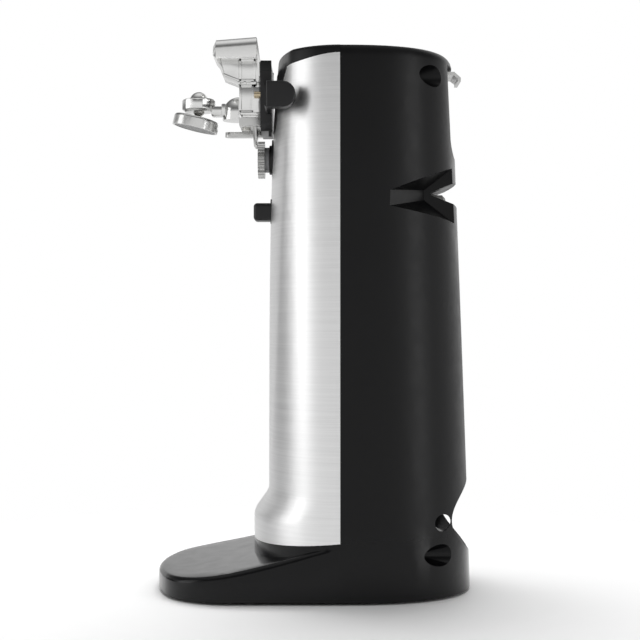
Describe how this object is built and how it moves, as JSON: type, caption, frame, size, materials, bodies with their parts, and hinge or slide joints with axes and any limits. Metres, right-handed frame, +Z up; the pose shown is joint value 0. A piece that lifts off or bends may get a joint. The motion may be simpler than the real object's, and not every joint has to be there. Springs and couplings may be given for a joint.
{
  "type": "electric can opener",
  "caption": "Tall free-standing can opener with a brushed steel wrap, black housing, lift-up cutting lever with magnet, knife notch and bottle opener.",
  "frame": {"origin": "middle of the base on the surface it stands on, which is the bottom centre of the whole box", "axes": "+Z up, the front with the lever faces -Y, +X is the right-hand side of a user who faces the front"},
  "size_m": [0.108, 0.1484, 0.2607],
  "materials": {
    "black_housing": "satin moulded ABS, fine texture",
    "black_trim": "satin black plastic trim",
    "brushed_wrap": "stainless sheet, brushed sideways",
    "bright_casting": "polished and plated die casting",
    "ground_steel": "ground tool steel",
    "magnet_cup_steel": "nickel-plated pressed steel",
    "ferrite": "sintered ferrite, fine grained",
    "black_grip": "soft-sheen black plastic",
    "grey_plastic": "grey acetal",
    "black_washer": "black nylon",
    "white_nylon": "natural nylon gears",
    "rubber_black": "matt rubber",
    "zinc_steel": "zinc-plated steel",
    "laminations": "blued lamination stack",
    "copper": "enamelled copper",
    "bobbin_nylon": "natural nylon",
    "grindstone": "pale grey aluminium oxide stone",
    "sintered_bronze": "oil-filled bronze"
  },
  "bodies": {
    "casing": {"front_housing": "black_housing", "rear_housing": "black_housing", "front_panel": "brushed_wrap", "lever_bay": "black_trim", "can_guide": "black_trim", "bottom_cover": "black_trim", "rubber_feet": "rubber_black", "housing_screws": "zinc_steel", "bottle_opener": "ground_steel", "opener_screw": "zinc_steel", "knife_guide": "black_trim", "gearbox_front_plate": "zinc_steel", "gearbox_rear_plate": "zinc_steel", "plate_spacers": "zinc_steel", "gearbox_screws": "zinc_steel", "idler_axles": "zinc_steel", "drive_bush": "black_trim", "motor_stator": "laminations", "shading_rings": "copper", "coil_bobbin": "bobbin_nylon", "coil_winding": "copper", "motor_bracket_front": "zinc_steel", "motor_bracket_rear": "zinc_steel", "motor_bearings": "sintered_bronze", "motor_screws": "zinc_steel", "switch_body": "black_trim", "switch_terminals": "sintered_bronze"},
    "feed_drive": {"drive_shaft": "ground_steel", "drive_gear": "ground_steel", "drive_collar": "grey_plastic", "drive_washer": "black_washer", "output_gear": "white_nylon"},
    "idler_a": {"idler_gear_a": "white_nylon"},
    "idler_b": {"idler_gear_b": "white_nylon"},
    "rotor": {"motor_rotor": "laminations", "motor_shaft": "ground_steel", "motor_pinion": "sintered_bronze", "grinding_wheel": "grindstone", "wheel_nut": "zinc_steel"},
    "lever": {"lever_carrier": "black_grip", "pivot_pin": "zinc_steel", "switch_cam": "grey_plastic", "cutter_frame": "bright_casting", "cutter_pin": "sintered_bronze", "blade_holder": "ground_steel", "rim_guide": "ground_steel", "cutting_blade": "ground_steel", "blade_screw": "zinc_steel", "magnet_arm": "bright_casting"},
    "magnet": {"magnet_stud": "zinc_steel", "magnet_cup": "magnet_cup_steel", "can_magnet": "ferrite"},
    "plunger": {"switch_plunger": "grey_plastic"}
  },
  "joints": [
    {"name": "lever_lift", "type": "hinge", "parent": "casing", "child": "lever", "pos_m": [-0.016, -0.0253, 0.2357], "axis": [0, -1, 0], "range_deg": [0, 28]},
    {"name": "magnet_swivel", "type": "hinge", "parent": "lever", "child": "magnet", "pos_m": [0, -0.0556, 0.2276], "axis": [1, 0, 0], "range_deg": [-8, 4]},
    {"name": "rotor_spin", "type": "hinge", "parent": "casing", "child": "rotor", "pos_m": [0, 0.03, 0.17], "axis": [0, 1, 0], "continuous": true},
    {"name": "idler_a_spin", "type": "hinge", "parent": "casing", "child": "idler_a", "pos_m": [-0.012, 0.012, 0.1826], "axis": [0, 1, 0], "continuous": true},
    {"name": "idler_b_spin", "type": "hinge", "parent": "casing", "child": "idler_b", "pos_m": [0.0096, 0.006, 0.183], "axis": [0, 1, 0], "continuous": true},
    {"name": "feed_spin", "type": "hinge", "parent": "casing", "child": "feed_drive", "pos_m": [0, 0, 0.2039], "axis": [0, 1, 0], "continuous": true},
    {"name": "plunger_rise", "type": "slide", "parent": "casing", "child": "plunger", "axis": [0, 0, 1], "range_m": [0, 0.0036], "stiffness_N_per_m": 40, "springref_m": 0.0036}
  ],
  "couplings": [
    {"joint": "idler_a_spin", "follows": "rotor_spin", "ratio": -0.20833},
    {"joint": "idler_b_spin", "follows": "rotor_spin", "ratio": 0.047348},
    {"joint": "feed_spin", "follows": "rotor_spin", "ratio": -0.013152},
    {"joint": "plunger_rise", "follows": "lever_lift", "m_per_rad": 0.00736}
  ]
}
